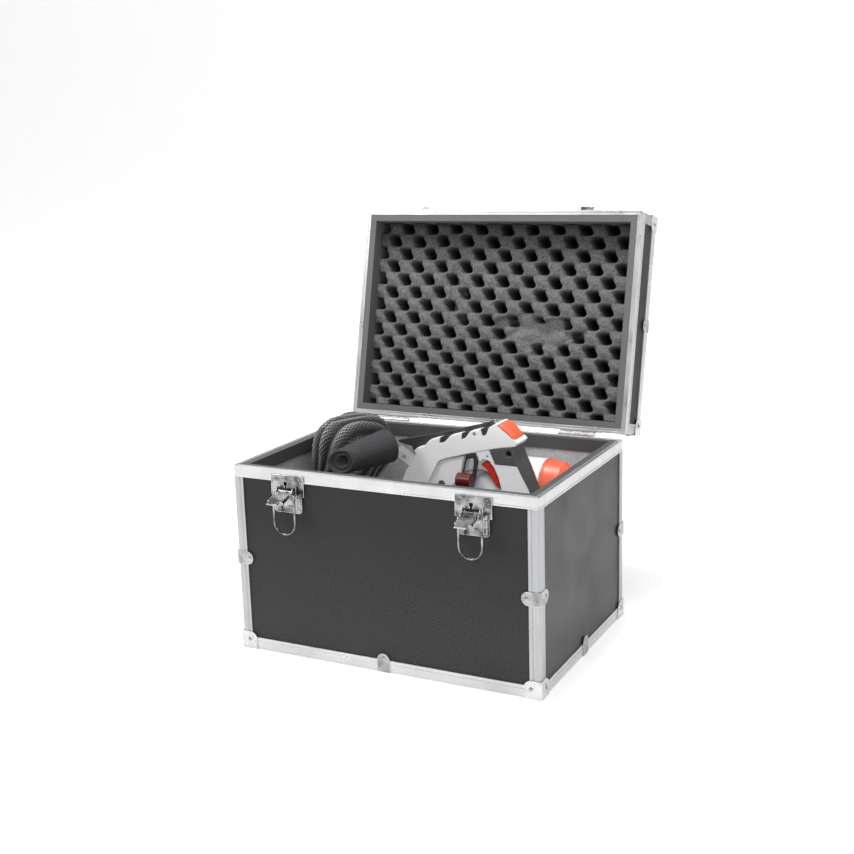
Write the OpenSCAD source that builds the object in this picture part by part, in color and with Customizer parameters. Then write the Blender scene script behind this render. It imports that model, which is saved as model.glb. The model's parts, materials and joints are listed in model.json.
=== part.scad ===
// Nail gun kit: an aluminium-framed carrying case with a hinged foam-lined lid,
// and in it a magazine-fed nail gun, a canister, a rolled sleeve and a mesh bag.
// Origin: centre of the case's footprint on the surface it stands on.
// +X runs right along the case front, -Y is the latch side, +Y the hinge side, +Z up.

/* [Case] */
// Outer width of the case, along X
case_w = 460; // [440:2:500]
// Outer depth of the case, along Y
case_d = 328; // [316:2:350]
// Height of the case rim above the floor
case_h = 271; // [265:1:280]
// Height of the rubber feet
foot_h = 2; // [1:1:4]
// Width of the aluminium edge rails
rail = 16; // [14:1:18]
// Wall thickness of the aluminium rails
rail_t = 2; // [1.5:0.5:2]
// Thickness of the laminated boards
board_t = 4; // [3:0.5:4]
// Thickness of the felt lining
felt_t = 6; // [4:1:6]

/* [Lid] */
// Thickness of the closed lid
lid_h = 70; // [66:1:76]
// Angle the lid is open at rest, against its stay
lid_open = 103.5; // [90:0.5:110]
// Gap between the closed lid and the case rim
rim_gap = 0.4; // [0.3:0.1:0.8]
// Thickness of the foam sheet's backing
lid_foam_t = 24; // [20:1:24]

/* [Latches] */
// Distance of each latch from the middle of the front
latch_x = 140; // [120:1:150]
// Opening width of the wire bail
bail_w = 27; // [24:1:30]
// Length of the wire bail
bail_l = 56; // [50:1:58]
// Diameter of the bail wire
wire_d = 3; // [2.5:0.5:3.5]

/* [Tool] */
// Nearest face of the tool's shell, along Y
gun_y = -5; // [-8:1:-2]
// Thickness of the tool across both shell halves
gun_t = 36; // [36:1:40]
// Height of the barrel's axis
barrel_z = 197; // [196.5:0.5:198]
// Outer radius of the barrel
barrel_r = 15; // [14:0.5:15]
// Slope of the magazine
mag_tilt = 17; // [16:0.5:18]

/* [Hidden] */
$fn = 48;
hw = case_w / 2;
hd = case_d / 2;
z0 = foot_h;
pin_y = hd + 5.6;
pin_z = case_h + 0.2;
in_w = hw - board_t - rail_t;
in_d = hd - board_t - rail_t;
bed_z = 179;
web = 7;
gun_m = gun_y + gun_t / 2;
skin = 12;
core_y = gun_y + skin + 0.05;
core_t = gun_t - 2 * skin - 0.1;
far_y = gun_y + gun_t - skin;
can_r = 38;
can_x = 77;
can_y = 75;
can_z = bed_z + can_r + 0.3;
lever_y = -hd - 7;
lever_z = 244;
bail_y = -hd - 12;
bail_z = 240;
lever_droop = 16;
leaf_x = 155;

// ---------- helpers ----------
module rrect(w, d, r) {
  square([w - 2 * r, d], center = true);
  square([w, d - 2 * r], center = true);
  for (i = [-1, 1], j = [-1, 1])
    translate([i * (w / 2 - r), j * (d / 2 - r)]) circle(r);
}
module ring(w, d, z, h, t, r = 4) {
  translate([0, 0, z]) linear_extrude(h) difference() {
    rrect(w, d, r);
    square([w - 2 * t, d - 2 * t], center = true);
  }
}
module box(x0, x1, y0, y1, z0, z1) {
  translate([x0, y0, z0]) cube([x1 - x0, y1 - y0, z1 - z0]);
}
module slab(y, t) {
  translate([0, y + t, 0]) rotate([90, 0, 0]) linear_extrude(t) children();
}
module xcyl(x0, x1, y, z, r) {
  translate([x0, y, z]) rotate([0, 90, 0]) cylinder(h = x1 - x0, r = r);
}
module ycyl(x, z, y0, y1, r) {
  translate([x, y1, z]) rotate([90, 0, 0]) cylinder(h = y1 - y0, r = r);
}
module at_corners() {
  for (i = [-1, 1], j = [-1, 1]) scale_xy(i, j) children();
}
module scale_xy(i, j) {
  if (i > 0 && j > 0) children();
  if (i < 0 && j > 0) mirror([1, 0, 0]) children();
  if (i > 0 && j < 0) mirror([0, 1, 0]) children();
  if (i < 0 && j < 0) mirror([1, 0, 0]) mirror([0, 1, 0]) children();
}
module open_lid() {
  translate([0, pin_y, pin_z]) rotate([-lid_open, 0, 0])
    translate([0, -pin_y, case_h + rim_gap - pin_z]) children();
}
// L section of a rail standing at the +X +Y corner, with a beaded outer edge
module post_section() {
  difference() {
    union() {
      translate([hw - rail, hd - rail_t]) square([rail - 4, rail_t]);
      translate([hw - rail_t, hd - rail]) square([rail_t, rail - 4]);
      intersection() {
        translate([hw - 4, hd - 4]) circle(4);
        translate([hw - 4, hd - 4]) square(4);
      }
    }
    translate([hw - rail_t - 2, hd - rail_t - 2]) square([2, 2]);
    translate([hw - rail + 4.5, hd - 0.5]) square([1, 1]);
    translate([hw - 0.5, hd - rail + 4.5]) square([1, 1]);
  }
}

// ---------- case ----------
module front_board() {
  color("#3c3c3e")
    box(-hw + rail_t, hw - rail_t, -hd + rail_t, -in_d, z0 + rail_t, case_h - 2);
}
module back_board() {
  color("#3c3c3e")
    box(-hw + rail_t, hw - rail_t, in_d, hd - rail_t, z0 + rail_t, case_h - 2);
}
module side_board_left() {
  color("#5c5c5e") box(-hw + rail_t, -in_w, -in_d, in_d, z0 + rail_t, case_h - 2);
}
module side_board_right() {
  color("#5c5c5e") box(in_w, hw - rail_t, -in_d, in_d, z0 + rail_t, case_h - 2);
}
module base_board() {
  color("#3c3c3e") box(-in_w, in_w, -in_d, in_d, z0 + rail_t, z0 + rail_t + board_t);
}
module base_rails() {
  color("#dcdde0") difference() {
    union() {
      ring(case_w, case_d, z0, rail, rail_t);
      ring(case_w, case_d, z0, rail_t, rail);
    }
    difference() {
      translate([0, 0, z0 + 10.5]) linear_extrude(1) square([case_w + 2, case_d + 2], center = true);
      translate([0, 0, z0 + 10]) linear_extrude(2) rrect(case_w - 1, case_d - 1, 3.5);
    }
  }
}
module corner_posts() {
  color("#dcdde0") at_corners()
    translate([0, 0, z0 + rail]) linear_extrude(case_h - rail - z0 - rail) post_section();
}
module rim_rail() {
  color("#e4e5e8") difference() {
    union() {
      ring(case_w - 1.4, case_d - 1.4, case_h - rail, rail - 2, rail_t - 0.7);
      ring(case_w, case_d, case_h - 6, 6, rail_t, 4);
      ring(case_w, case_d, case_h - rail, 2.2, rail_t, 4);
      ring(case_w, case_d, case_h - 2, 2, web);
    }
    difference() {
      translate([0, 0, case_h - 0.8]) linear_extrude(2) square([case_w - 6, case_d - 6], center = true);
      translate([0, 0, case_h - 1]) linear_extrude(3) square([case_w - 10, case_d - 10], center = true);
    }
  }
}
module rim_liner() {
  color("#4a4a4c") union() {
    ring(case_w - 24, case_d - 24, case_h - 19, 17, 5, 1);
    ring(case_w - 2 * web, case_d - 2 * web, case_h - 2, 1.4, 10, 1);
  }
}
module felt_lining() {
  color("#b4b4b6") union() {
    difference() {
      box(-in_w, in_w, -in_d, in_d, z0 + rail_t + board_t, case_h - 2);
      box(-in_w + felt_t, in_w - felt_t, -in_d + felt_t, in_d - felt_t, z0 + 9, case_h);
    }
  }
}
module foam_bed() {
  color("#2c2c2e")
    box(-in_w + felt_t, in_w - felt_t, -in_d + felt_t, in_d - felt_t, z0 + 9, bed_z);
}
// Corner cap: three plates with a round inner corner folded over a corner, at the +X +Y corner
module corner_cap(zf, up) {
  box(hw - 24, hw, hd, hd + 1.2, zf, zf + 13);
  box(hw - 13, hw, hd, hd + 1.2, zf, zf + 24);
  ycyl(hw - 13, zf + 13, hd, hd + 1.2, 11);
  box(hw, hw + 1.2, hd - 24, hd, zf, zf + 13);
  box(hw, hw + 1.2, hd - 13, hd, zf, zf + 24);
  xcyl(hw, hw + 1.2, hd - 13, zf + 13, 11);
  box(hw - 24, hw + 1.2, hd - 13, hd + 1.2, zf - 1.2, zf);
  box(hw - 13, hw + 1.2, hd - 24, hd + 1.2, zf - 1.2, zf);
  translate([hw - 13, hd - 13, zf - 1.2]) cylinder(h = 1.2, r = 11);
  translate([hw, hd, zf - 1.2]) intersection() {
    cylinder(r = 1.2, h = 25.2);
    cube([2, 2, 26]);
  }
  ycyl(hw - 13, zf + 13, hd + 1.2, hd + 2, 5.5);
  xcyl(hw + 1.2, hw + 2, hd - 13, zf + 13, 5.5);
}
module corner_caps() {
  color("#c9cacd") at_corners() corner_cap(z0, 1);
}
// Clip over a vertical corner rail at height z, with a round tongue onto each board
module post_clip(z) {
  difference() {
    union() {
      box(hw - rail, hw + 1, hd, hd + 1, z - 9.5, z + 9.5);
      box(hw, hw + 1, hd - rail, hd + 1, z - 9.5, z + 9.5);
      ycyl(hw - rail, z, hd, hd + 1, 9.5);
      xcyl(hw, hw + 1, hd - rail, z, 9.5);
    }
    translate([hw + 1, hd + 1, z]) rotate([0, 0, 45]) cube([1.4, 1.4, 40], center = true);
  }
}
module base_clip_x(z, s) {
  box(-9.5, 9.5, hd, hd + 1, min(z - s, z + s * rail), max(z - s, z + s * rail));
  ycyl(0, z + s * rail, hd, hd + 1, 9.5);
  box(-9.5, 9.5, hd - rail, hd + 1, min(z, z - s), max(z, z - s));
}
module base_clip_y(z, s) {
  box(hw, hw + 1, -9.5, 9.5, min(z - s, z + s * rail), max(z - s, z + s * rail));
  xcyl(hw, hw + 1, 0, z + s * rail, 9.5);
  box(hw - rail, hw + 1, -9.5, 9.5, min(z, z - s), max(z, z - s));
}
module edge_clips() {
  color("#c9cacd") {
    at_corners() post_clip(137);
    for (m = [0, 1]) mirror([0, m, 0]) base_clip_x(z0, 1);
    for (m = [0, 1]) mirror([m, 0, 0]) base_clip_y(z0, 1);
  }
}
module rivet_y(x, z, y, r = 2.6) {
  translate([x, y, z]) rotate([-90, 0, 0]) rivet_head(r);
}
module rivet_x(y, z, x, r = 2.6) {
  translate([x, y, z]) rotate([0, 90, 0]) rivet_head(r);
}
module rivet_head(r) {
  cylinder(h = 0.6, r = r);
  translate([0, 0, 0.6]) cylinder(h = 0.5, r1 = r, r2 = r * 0.6);
}
module case_rivets() {
  color("#b8b9bc") {
    at_corners() {
      rivet_y(hw - 13, z0 + 13, hd + 2, 3);
      rivet_x(hd - 13, z0 + 13, hw + 2, 3);
      rivet_y(hw - rail - 3, 137, hd + 1);
      rivet_x(hd - rail - 3, 137, hw + 1);
    }
    for (m = [0, 1]) {
      mirror([0, m, 0]) rivet_y(0, z0 + rail + 3, hd + 1);
      mirror([m, 0, 0]) rivet_x(0, z0 + rail + 3, hw + 1);
    }
    for (i = [-1, 1], j = [-1, 1]) {
      translate([i * latch_x + j * 19, -hd - 1.2, 257]) rotate([90, 0, 0]) rivet_head(3.2);
      rivet_y(i * leaf_x + j * 20, 247, hd + 1.3, 2.8);
    }
    for (i = [-1, 1]) translate([i * latch_x - i * 0 + 4, -hd - 1.2, 220]) rotate([90, 0, 0]) rivet_head(3.2);
  }
}
module rubber_feet() {
  color("#1c1c1e") for (i = [-1, 1], j = [-1, 1])
    translate([i * (hw - 45), j * (hd - 40), 0]) {
      cylinder(h = z0 + rail_t, r = 11);
    }
  color("#1c1c1e") cylinder(h = z0 + rail_t, r = 11);
}

// ---------- latches ----------
module latch_plate() {
  difference() {
    union() {
      translate([0, -hd, 0]) rotate([90, 0, 0]) linear_extrude(1.2) difference() {
        union() {
          translate([-26, 236]) square([52, 29]);
          translate([-22, 217]) square([44, 20]);
          translate([-17, 212]) square([34, 6]);
          translate([-17, 217]) circle(5);
          translate([17, 217]) circle(5);
        }
        translate([-3, 253]) circle(3.2);
        translate([-4.4, 243]) square([2.8, 9]);
      }
      // hinge ears of the lever
      for (s = [-1, 1]) translate([s * 12.6 - 0.7, 0, 0]) difference() {
        union() {
          box(0, 1.4, -hd - 9, -hd - 1, bail_z - 3.5, lever_z + 5);
          translate([0, lever_y, lever_z]) rotate([0, 90, 0]) cylinder(h = 1.4, r = 4);
          translate([0, bail_y, bail_z]) rotate([0, 90, 0]) cylinder(h = 1.4, r = 3.5);
        }
        translate([-1, lever_y, lever_z]) rotate([0, 90, 0]) cylinder(h = 4, r = 1.55);
        translate([-1, bail_y, bail_z]) rotate([0, 90, 0]) cylinder(h = 4, r = 1.5);
      }
      // raised stop rib below the lever
      box(14.2, 19, -hd - 2.6, -hd - 1, 216, 234);
    }
  }
}
module latch_plates() {
  color("#b9babd") for (s = [-1, 1]) translate([s * latch_x, 0, 0]) latch_plate();
}
module latch_lever(s) {
  color("#c6c7ca") translate([s * latch_x, lever_y, lever_z]) {
    rotate([0, 90, 0]) translate([0, 0, -13.4]) cylinder(h = 26.8, r = 1.5);
    rotate([lever_droop, 0, 0]) {
      translate([-11.2, -28, -0.9]) cube([22.4, 29, 1.8]);
      translate([-8.2, -36, -0.9]) cube([16.4, 9, 1.8]);
      translate([-11.2, -26, -4.6]) cube([1.4, 22, 4.2]);
      translate([9.8, -26, -4.6]) cube([1.4, 22, 4.2]);
    }
  }
}
module latch_lever_left() { latch_lever(-1); }
module latch_lever_right() { latch_lever(1); }
module bail(s) {
  w = bail_w / 2 + wire_d / 2 + 1.6;
  color("#cfd0d3") translate([s * latch_x, bail_y, bail_z]) {
    rotate([0, 90, 0]) translate([0, 0, 11.8]) cylinder(h = w - 11.8, r = 1.45);
    rotate([0, 90, 0]) translate([0, 0, -w]) cylinder(h = w - 11.8, r = 1.45);
    for (i = [-1, 1]) {
      translate([i * w, 0, 0]) sphere(wire_d / 2);
      translate([i * w, 0, -bail_l + w]) cylinder(h = bail_l - w, r = wire_d / 2);
    }
    translate([0, 0, -bail_l + w]) rotate([90, 0, 0]) intersection() {
      rotate_extrude($fn = 64) translate([w, 0]) circle(wire_d / 2);
      translate([-30, -60, -5]) cube([60, 60, 10]);
    }
  }
}
module bail_left() { bail(-1); }
module bail_right() { bail(1); }

// ---------- hinges ----------
module hinge_leaves_case() {
  color("#c2c3c6") for (s = [-1, 1]) difference() {
    translate([s * leaf_x, 0, 0]) {
      difference() {
        box(-28, 28, hd, hd + 1.3, 238, pin_z - 1);
        for (i = [-1, 1]) box(i * 14 - 6.4, i * 14 + 6.4, hd - 1, hd + 3, pin_z - 5.2, pin_z + 2);
      }
      for (k = [-24.3, 0, 24.3]) {
        w = k == 0 ? 7.4 : 3.7;
        xcyl(k - w, k + w, pin_y, pin_z, 4);
        box(k - w, k + w, hd, pin_y, pin_z - 3.4, pin_z - 1.4);
      }
    }
    xcyl(s * leaf_x - 40, s * leaf_x + 40, pin_y, pin_z, 2.05);
  }
}
module hinge_pins() {
  color("#9a9b9e") for (s = [-1, 1])
    xcyl(s * leaf_x - 28.5, s * leaf_x + 28.5, pin_y, pin_z, 2);
}

// ---------- lid, drawn closed and then swung open ----------
module lid_top_board() {
  color("#3c3c3e") open_lid()
    box(-hw + rail_t, hw - rail_t, -hd + rail_t, hd - rail_t, lid_h - rail_t - board_t, lid_h - rail_t);
}
module lid_wall_boards() {
  color("#3c3c3e") open_lid() difference() {
    box(-hw + rail_t, hw - rail_t, -hd + rail_t, hd - rail_t, 2, lid_h - rail_t - board_t);
    box(-in_w, in_w, -in_d, in_d, 1, lid_h);
  }
}
module lid_rim_rail() {
  color("#e4e5e8") open_lid() difference() {
    union() {
      ring(case_w - 1.4, case_d - 1.4, 2, rail - 2, rail_t - 0.7);
      ring(case_w, case_d, 0, 6, rail_t, 4);
      ring(case_w, case_d, rail - 2.2, 2.2, rail_t, 4);
      ring(case_w, case_d, 0, 2, web);
    }
    difference() {
      translate([0, 0, -1.2]) linear_extrude(2) square([case_w - 6, case_d - 6], center = true);
      translate([0, 0, -2]) linear_extrude(4) square([case_w - 10, case_d - 10], center = true);
    }
  }
}
module lid_top_rails() {
  color("#dcdde0") open_lid() difference() {
    union() {
      ring(case_w, case_d, lid_h - rail, rail, rail_t);
      ring(case_w, case_d, lid_h - rail_t, rail_t, rail);
    }
    difference() {
      translate([0, 0, lid_h - 11.5]) linear_extrude(1) square([case_w + 2, case_d + 2], center = true);
      translate([0, 0, lid_h - 12]) linear_extrude(2) rrect(case_w - 1, case_d - 1, 3.5);
    }
  }
}
module lid_posts() {
  color("#dcdde0") open_lid() at_corners()
    translate([0, 0, rail]) linear_extrude(lid_h - 2 * rail) post_section();
}
module lid_border() {
  color("#6e6e70") open_lid() difference() {
    union() {
      box(-in_w, in_w, -in_d, in_d, 2, lid_h - rail_t - board_t);
      box(-hw + web, hw - web, -hd + web, hd - web, 0.4, 3);
    }
    box(-in_w + 11, in_w - 11, -in_d + 11, in_d - 11, -1, lid_h);
  }
}
module lid_foam() {
  t = lid_h - rail_t - board_t;
  color("#3a3a3c") open_lid() difference() {
    box(-in_w + 11, in_w - 11, -in_d + 11, in_d - 11, t - lid_foam_t, t);
    box(48, 160, -22, 50, t - lid_foam_t - 1, t - 6);
  }
}
module lid_corner_caps() {
  color("#c9cacd") open_lid() translate([0, 0, lid_h]) mirror([0, 0, 1]) at_corners()
    corner_cap(0, 1);
}
module lid_edge_clips() {
  color("#c9cacd") open_lid() {
    for (m = [0, 1]) mirror([m, 0, 0]) {
      box(hw, hw + 1, -9.5, 9.5, lid_h - rail, lid_h + 1);
      xcyl(hw, hw + 1, 0, lid_h - rail, 9.5);
      box(hw - rail, hw + 1, -9.5, 9.5, lid_h, lid_h + 1);
    }
    for (m = [0, 1]) mirror([0, m, 0]) {
      box(-9.5, 9.5, hd, hd + 1, lid_h - rail, lid_h + 1);
      ycyl(0, lid_h - rail, hd, hd + 1, 9.5);
      box(-9.5, 9.5, hd - rail, hd + 1, lid_h, lid_h + 1);
    }
  }
}
module lid_rivets() {
  color("#b8b9bc") open_lid() {
    at_corners() {
      rivet_y(hw - 13, lid_h - 13, hd + 2, 3);
      rivet_x(hd - 13, lid_h - 13, hw + 2, 3);
    }
    for (m = [0, 1]) {
      mirror([0, m, 0]) rivet_y(0, lid_h - rail - 3, hd + 1);
      mirror([m, 0, 0]) rivet_x(0, lid_h - rail - 3, hw + 1);
    }
    for (i = [-1, 1], j = [-1, 1]) {
      translate([i * latch_x + j * 21, -hd - 1.2, 11]) rotate([90, 0, 0]) rivet_head(2.6);
      rivet_y(i * leaf_x + j * 20, 25, hd + 1.3, 2.8);
    }
  }
}
module keeper_plates() {
  color("#c6c7ca") open_lid() for (s = [-1, 1]) translate([s * latch_x, -hd, 0]) {
    translate([-26, -1.2, 4.5]) cube([52, 1.2, 13]);
    translate([-10, -7.2, 11]) cube([20, 6.2, 1.4]);
    translate([-10, -7.2, 11]) cube([20, 1.4, 8]);
  }
}
module hinge_leaves_lid() {
  color("#c2c3c6") open_lid() for (s = [-1, 1]) difference() {
    translate([s * leaf_x, 0, 0]) {
      box(-28, 28, hd, hd + 1.3, 5.2, 34);
      for (i = [-1, 1]) {
        box(i * 14 - 6.2, i * 14 + 6.2, hd, hd + 1.3, 1.2, 6);
        box(i * 14 - 6.2, i * 14 + 6.2, hd, pin_y, 1.2, 3.2);
        xcyl(i * 14 - 6.2, i * 14 + 6.2, pin_y, pin_z - case_h - rim_gap, 4);
      }
    }
    xcyl(s * leaf_x - 40, s * leaf_x + 40, pin_y, pin_z - case_h - rim_gap, 2.05);
  }
}

// ---------- nail gun ----------
// Outline of the shell in X and Z: notched magazine arm and the left leg
hump_outline = [
  [95, 317.5], [98, 319], [102, 320], [106, 320.6], [104.5, 317], [115.6, 309],
  [126, 300.3], [131, 299.5], [134.5, 295.5], [130.5, 290.5], [107.8, 287], [99, 285]
];
trig_x = 88;
trig_z = 273;
arm_outline = [
  [-27, 271.5], [-22, 276], [-10, 280], [-1, 289.4], [16, 295], [14.2, 286.4],
  [22, 288.2], [31.6, 298.3], [50, 304], [48.9, 294.7], [54.8, 296.8], [62.5, 306.7],
  [78.3, 311.7], [81.4, 302], [87, 304], [91.4, 315], [98, 319], [102, 320],
  [106, 320.6], [104.5, 317], [115.6, 309], [126, 300.3], [131, 299.5],
  [134.5, 295.5], [130.5, 290.5], [107.8, 286.9], [77.6, 280],
  [23.3, 264.5], [14, 260.5], [10.5, 257.5], [-4.7, 227.6], [-16, 205], [-16, 196],
  [-64, 196], [-53, 214], [-46, 228.4], [-40, 242.6], [-32, 252.5], [-24, 267]
];
leg_outline = [
  [8, 262], [51, 270], [48, 261.7], [39.3, 223], [36, 205], [-18, 205], [-6, 227.6], [9, 257.5]
];
beam_outline = [[-64, 183.5], [176, 183.5], [176, 211], [-64, 211]];
insert_outline = [
  [70, 279], [90, 284], [99.8, 262.1], [132.6, 262.3], [148.5, 231.3], [158, 210],
  [109, 210], [108.3, 229], [104.2, 244], [98.2, 257], [91, 266.5], [82, 268.5], [76, 264],
  [73, 268]
];
stem_outline = [
  [-50, 214], [-43, 229], [-37, 243], [-28, 252], [-16, 250], [-28, 232], [-36, 214]
];
hand_outline = [
  [91.4, 281], [107.8, 286.9], [130.5, 290.5], [136, 273.5], [142.5, 259.6], [153, 232.3],
  [162, 210], [158, 210], [148.5, 231.3], [132.6, 262.3], [99.8, 262.1]
];
module shell_half(y, face) {
  difference() {
    union() {
      slab(y, skin) {
        difference() {
          polygon(arm_outline);
          translate([69, 303.5]) circle(2.6);
        }
      }
      slab(face > 0 ? y + 5 : y, skin - 5) polygon(leg_outline);
      slab(y, skin) polygon(beam_outline);
      slab(face > 0 ? y + 0.8 : y, skin - 0.8) polygon(insert_outline);
      if (face < 0) slab(core_y, core_t + 0.05) polygon(hump_outline);
    }
    ycyl(trig_x, trig_z, y - 1, y + skin + 1, 1.5);
    xcyl(-80, 190, gun_m, barrel_z, barrel_r + 0.05);
    translate([66, gun_m, 200]) scale([49, 25, 49]) sphere(1, $fn = 48);
  }
}
module shell_near() { color("#d6d6d8") shell_half(gun_y, 1); }
module shell_far() { color("#d6d6d8") shell_half(far_y, -1); }
module inner_frame() {
  color("#303032") difference() {
    slab(core_y, core_t) {
      difference() {
        union() {
          polygon([[-14, 262], [-16, 250], [-28, 232], [-36, 214], [-44, 200], [34, 200],
                   [37, 223], [46, 264], [22, 262.5]]);
          polygon([[-60, 185], [174, 185], [174, 209], [-60, 209]]);
        }
      }
    }
    xcyl(-80, 190, gun_m, barrel_z, barrel_r + 0.05);
    translate([66, gun_m, 200]) scale([49, 25, 49]) sphere(1, $fn = 48);
  }
}
module in_mag() {
  translate([-30, gun_m, 262]) rotate([0, -mag_tilt, 0]) children();
}
module magazine() {
  // dark teeth that fill the notches in the top edge of both shells
  color("#343436") for (y = [gun_y + 0.5, core_y + core_t - 0.5]) slab(y, core_y - gun_y) {
    polygon([[16.4, 295.2], [14.7, 286.9], [21.9, 288.6], [31, 298.2]]);
    polygon([[50.4, 303.8], [49.3, 295.2], [54.6, 297.1], [61.9, 306.4]]);
    polygon([[78.8, 311.5], [81.7, 302.6], [86.6, 304.4], [90.7, 314.2]]);
  }
  color("#343436") in_mag() difference() {
    translate([0, core_t / 2, 0]) rotate([90, 0, 0]) linear_extrude(core_t)
      polygon([[-2, 4], [130, 4], [130, 20.6], [106, 20.6], [100.6, 21.1], [61.8, 21.8],
        [-22.2, 27.4], [-18.6, 22.9], [-2, 13.95]]);
    translate([1, -2.9, 6]) cube([127, 5.8, 12]);
    translate([-3, -1.2, 7]) cube([6, 2.4, 6.5]);
  }
}
// Collated nails: each lies across the magazine
module nail_strip() {
  color("#a8a9ac") in_mag() {
    translate([3, -0.8, 9]) cube([52, 1.6, 4]);
    for (i = [0:9]) translate([5 + i * 5.2, 0, 6.3]) {
      cylinder(h = 11.2, r = 1.3, $fn = 16);
      cylinder(h = 1.2, r = 2.3, $fn = 16);
    }
  }
}
module magazine_pusher() {
  color("#8c8d90") in_mag() translate([57, 0, 0]) {
    translate([0, -2.6, 6.3]) cube([10, 5.2, 11.2]);
  }
}
module pusher_spring() {
  color("#aaabae") in_mag() for (i = [0:8])
    translate([69 + i * 6.4, 0, 12]) rotate([0, 90, 0]) rotate_extrude($fn = 20)
      translate([2.0, 0]) circle(0.5, $fn = 8);
  color("#aaabae") in_mag() translate([67.2, -0.5, 13.6]) cube([60, 1, 0.9]);
}
module grip_rubber() {
  color("#58585b") difference() {
    slab(gun_y, gun_t) difference() {
      polygon(hand_outline);
      translate([120.3, 279.2]) circle(4);
    }
    xcyl(-80, 190, gun_m, barrel_z, barrel_r + 0.05);
    box(150, 180, gun_y - 1, gun_y + gun_t + 1, 205, 211);
  }
}
// Rounded end pad over the corner between the magazine and the grip
module end_pad() {
  color("#f0623c") slab(gun_y + 0.4, gun_t - 0.8) polygon([
    [105.1, 317.3], [106.6, 320.4], [110, 320.4], [116, 317.4], [122, 312], [127, 306],
    [130, 301], [130, 300], [126.3, 300.6], [115.9, 309.3]
  ]);
}
module barrel() {
  color("#b9babc") difference() {
    xcyl(-66, 150, gun_m, barrel_z, barrel_r);
    xcyl(-40, 151, gun_m, barrel_z, 9.05);
    xcyl(-67, -39, gun_m, barrel_z, 4.05);
  }
}
module piston() {
  color("#8f9093") {
    xcyl(112, 128, gun_m, barrel_z, 9);
    xcyl(-10, 113, gun_m, barrel_z, 3.2);
  }
}
module buffer_ring() {
  color("#222224") difference() {
    xcyl(-39.9, -24, gun_m, barrel_z, 9.03);
    xcyl(-41, -23, gun_m, barrel_z, 3.3);
  }
}
module breech_dome() {
  color("#c4c5c8") difference() {
    translate([66, gun_m, 200]) scale([48, 24, 48]) sphere(1, $fn = 48);
    xcyl(-80, 190, gun_m, barrel_z, barrel_r + 0.02);
    box(0, 140, gun_m - 40, gun_m + 40, 120, bed_z + 0.3);
    slab(gun_y + 4.4, gun_t - 8.8) polygon([[70, 266], [76, 258], [85.3, 251], [90.3, 242],
      [94.3, 236], [98.8, 229.2], [102, 226], [120, 226], [120, 266]]);
  }
}
module rear_cap() {
  color("#3a3a3d") union() {
    xcyl(150.3, 186, gun_m, barrel_z, 15);
    xcyl(128.5, 150.3, gun_m, barrel_z, 8.6);
    for (a = [0:30:330])
      translate([181, gun_m, barrel_z]) rotate([a, 0, 0]) translate([0, 0, 15])
        cube([8, 2.4, 1.6], center = true);
  }
}
module nose_guide() {
  color("#a2a3a6") difference() {
    union() {
      xcyl(-84, -66, gun_m, barrel_z, 11);
      translate([-84, gun_m - 8, barrel_z]) cube([17, 16, 20]);
    }
    xcyl(-90, -60, gun_m, barrel_z, 4.05);
  }
}
// Slotted steel bracket that stands out of the leg, on its stem between the shells
module guide_bracket() {
  color("#b4b5b8") difference() {
    union() {
      translate([-42, core_y + 0.1, 257]) rotate([0, 32, 0]) {
        translate([-21, 0, -10]) cube([37, 11, 13]);
        translate([-19, 1.4, 3.6]) cube([28, 9.6, 5]);
        translate([-19, 3, 2]) cube([28, 8, 3]);
      }
      slab(core_y + 0.1, 11) polygon(stem_outline);
    }
    translate([-42, core_y + 0.1, 257]) rotate([0, 32, 0]) {
      translate([-7, -1, -3.5]) rotate([-90, 0, 0]) cylinder(h = 20, r = 3.4);
      translate([-22, -1, -7.6]) cube([39, 1.8, 1.6]);
    }
  }
}
module contact_probe() {
  color("#7d7e81") difference() {
    union() {
      xcyl(-98, -60, gun_m, barrel_z, 4);
      xcyl(-98, -94, gun_m, barrel_z, 7);
    }
    xcyl(-99, -59, gun_m, barrel_z, 3.3);
  }
}
module probe_spring() {
  color("#aaabae") for (i = [0:3])
    translate([-92.6 + i * 2.3, gun_m, barrel_z]) rotate([0, 90, 0]) rotate_extrude($fn = 24)
      translate([5.3, 0]) circle(0.6, $fn = 8);
  color("#aaabae") translate([-93.2, gun_m - 0.5, barrel_z + 5]) cube([8.4, 1, 1]);
}
module depth_wheel() {
  color("#7c1a1c") xcyl(48, 69, gun_y - 12.5, 239.5, 10);
}
// Bent black rod between the wheel and the arm
module trip_rod() {
  color("#161618") difference() {
    union() {
      slab(gun_y - 1.5, 5) polygon([[57, 274.5], [70, 276], [73, 272], [73, 262], [68, 234],
        [63, 235], [68, 262], [67.5, 269], [57, 267]]);
      ycyl(64, 239.5, gun_y - 2.5, gun_y + 3.5, 4);
    }
    translate([66, gun_m, 200]) scale([48.1, 24.1, 48.1]) sphere(1, $fn = 48);
    slab(gun_y - 0.05, 12) polygon(insert_outline);
    slab(gun_y - 0.05, 12) polygon(arm_outline);
  }
}
module trigger() {
  color("#e03c28") difference() {
    union() {
      slab(gun_y + 5, gun_t - 10) polygon([[77.1, 259], [79, 262.6], [84, 264.4], [89.5, 262],
        [94, 255.5], [98.5, 246], [101.3, 236], [102.4, 229], [99.5, 230], [95, 236.5],
        [91, 242.5], [86, 251.5]]);
      slab(core_y + 0.35, core_t - 0.7) polygon([[83, 262], [84, 273], [92, 273], [91, 259]]);
      ycyl(trig_x, trig_z, core_y + 0.35, core_y + core_t - 0.35, 4.4);
    }
    ycyl(trig_x, trig_z, core_y - 1, core_y + core_t + 1, 1.55);
  }
}
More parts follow.
